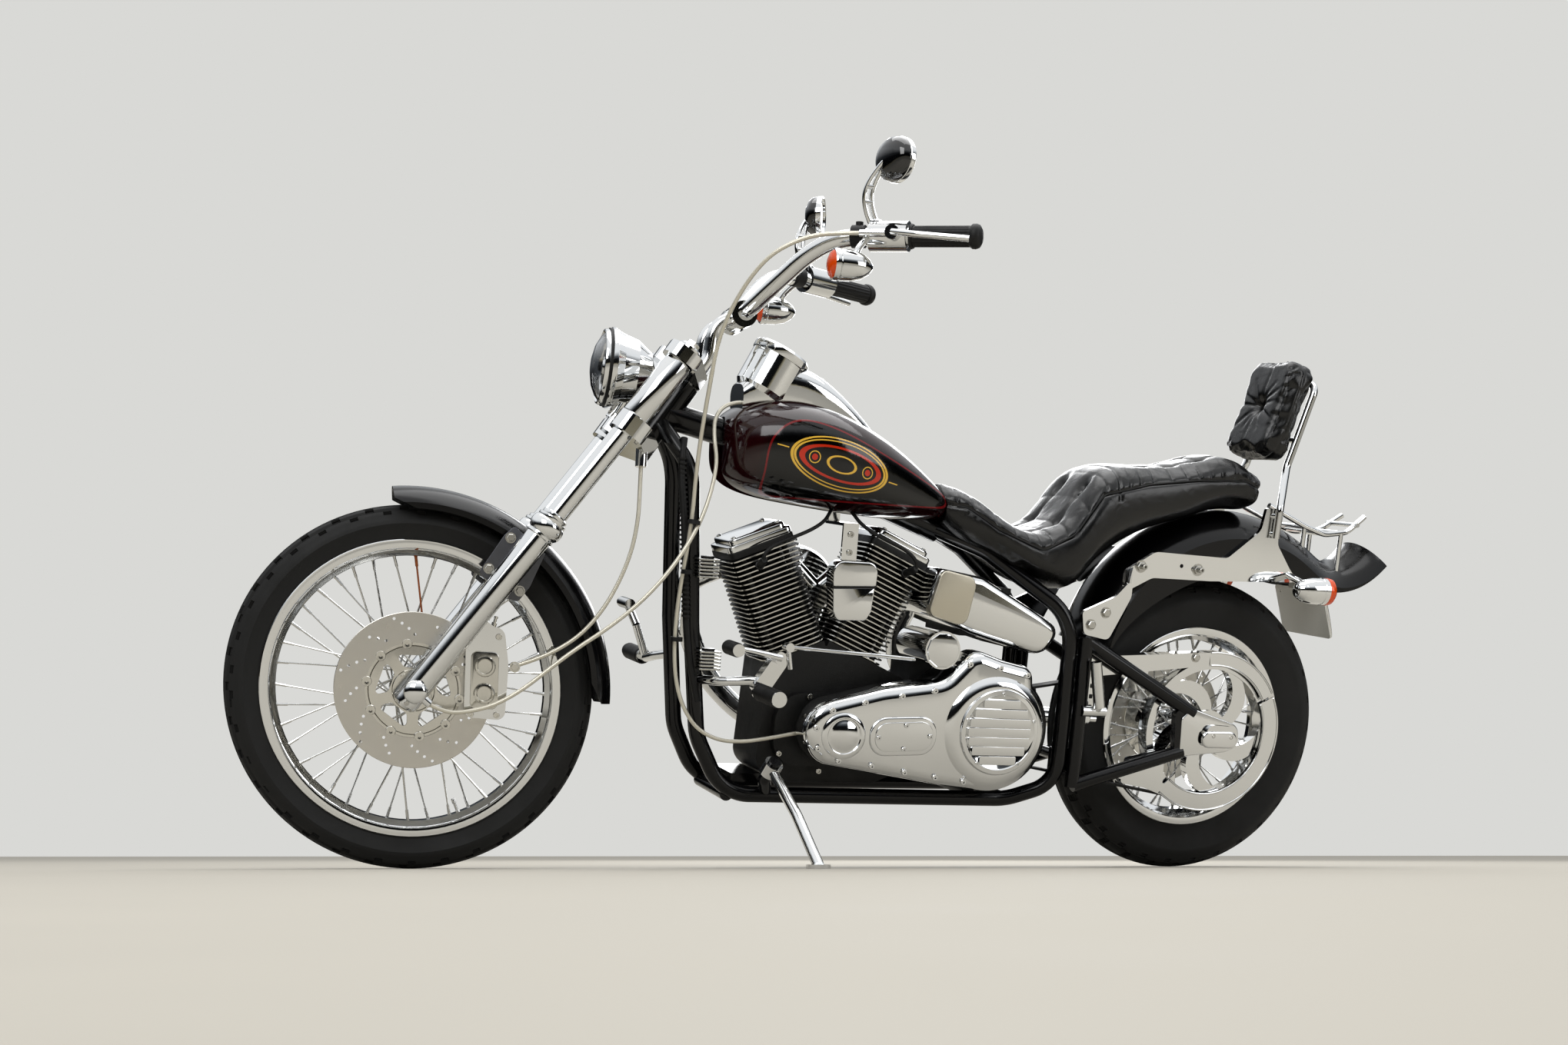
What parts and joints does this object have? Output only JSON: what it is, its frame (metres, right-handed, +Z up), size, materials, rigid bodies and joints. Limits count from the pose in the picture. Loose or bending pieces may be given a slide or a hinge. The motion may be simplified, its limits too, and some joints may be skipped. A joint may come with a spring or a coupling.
{
  "type": "chopper motorcycle",
  "caption": "Long-fork V-twin custom motorcycle with spoked wheels, two-step saddle and backrest, parked leaning on its side stand.",
  "frame": {"origin": "centre of the whole machine's bounding box, at ground level, as it stands parked", "axes": "+X to the rear, +Y to the rider's right, +Z up; the machine leans to -Y on its stand"},
  "size_m": [2.4498, 0.8908, 1.3946],
  "materials": {
    "black_paint": "gloss",
    "tank_paint": "gloss",
    "chrome": "polished",
    "engine_black": "satin",
    "case_metal": "polished",
    "disc_steel": "ground",
    "tyre_rubber": "matt",
    "rubber": "matt",
    "leather": "satin",
    "amber_lens": "gloss",
    "plate_white": "satin",
    "braid": "braided"
  },
  "bodies": {
    "root": {"frame": "black_paint", "rear_arm": "black_paint", "rear_axle": "chrome", "crankcase": "engine_black", "front_cylinder": "engine_black", "rear_cylinder": "engine_black", "rocker_boxes": "chrome", "primary_cover": "chrome", "clutch_cover": "chrome", "gearbox": "engine_black", "starter": "chrome", "oil_tank": "black_paint", "battery": "rubber", "horn_cover": "chrome", "air_cleaner": "chrome", "exhaust": "chrome", "fuel_tank": "tank_paint", "dash": "chrome", "seat": "leather", "rear_fender": "tank_paint", "fender_struts": "chrome", "sissy_bar": "chrome", "backrest_pad": "leather", "rack": "chrome", "rear_lamps": "chrome", "licence_plate": "plate_white", "belt_guards": "chrome", "drive_belt": "rubber", "foot_controls": "chrome", "passenger_pegs": "chrome", "finned_blocks": "chrome", "rear_caliper": "case_metal", "stand_bracket": "chrome", "clutch_cable": "braid", "speedometer_cable": "braid"},
    "fork": {"fork_legs": "chrome", "triple_clamps": "chrome", "headlamp": "chrome", "handlebar": "chrome", "grips": "rubber", "hand_controls": "chrome", "mirrors": "chrome", "front_signals": "amber_lens", "front_fender": "tank_paint", "front_axle": "chrome", "front_caliper": "case_metal", "brake_hose": "braid"},
    "front_wheel": {"front_tyre": "tyre_rubber", "front_rim": "chrome", "front_disc": "disc_steel"},
    "rear_wheel": {"rear_tyre": "tyre_rubber", "rear_rim": "chrome", "pulley": "case_metal", "rear_disc": "disc_steel"},
    "side_stand": {"side_stand": "chrome"}
  },
  "joints": [
    {"name": "steering", "type": "hinge", "parent": "root", "child": "fork", "pos_m": [-0.41539, 0.0474, 0.87523], "axis": [0.56, -0.1724, 0.8103], "range_deg": [-19.5, 36.5], "deforming": ["clutch_cable", "speedometer_cable"]},
    {"name": "front_wheel_spin", "type": "hinge", "parent": "fork", "child": "front_wheel", "pos_m": [-0.88219, 0.17299, 0.34266], "axis": [0.1227, 0.9846, 0.1247], "continuous": true},
    {"name": "rear_wheel_spin", "type": "hinge", "parent": "root", "child": "rear_wheel", "pos_m": [0.80704, 0.16633, 0.31443], "axis": [0.0002, 0.9781, 0.2079], "continuous": true},
    {"name": "stand_fold", "type": "hinge", "parent": "root", "child": "side_stand", "pos_m": [-0.19808, 0.04852, 0.19638], "axis": [0.182, -0.7411, 0.6463], "range_deg": [0, 70.7]}
  ]
}
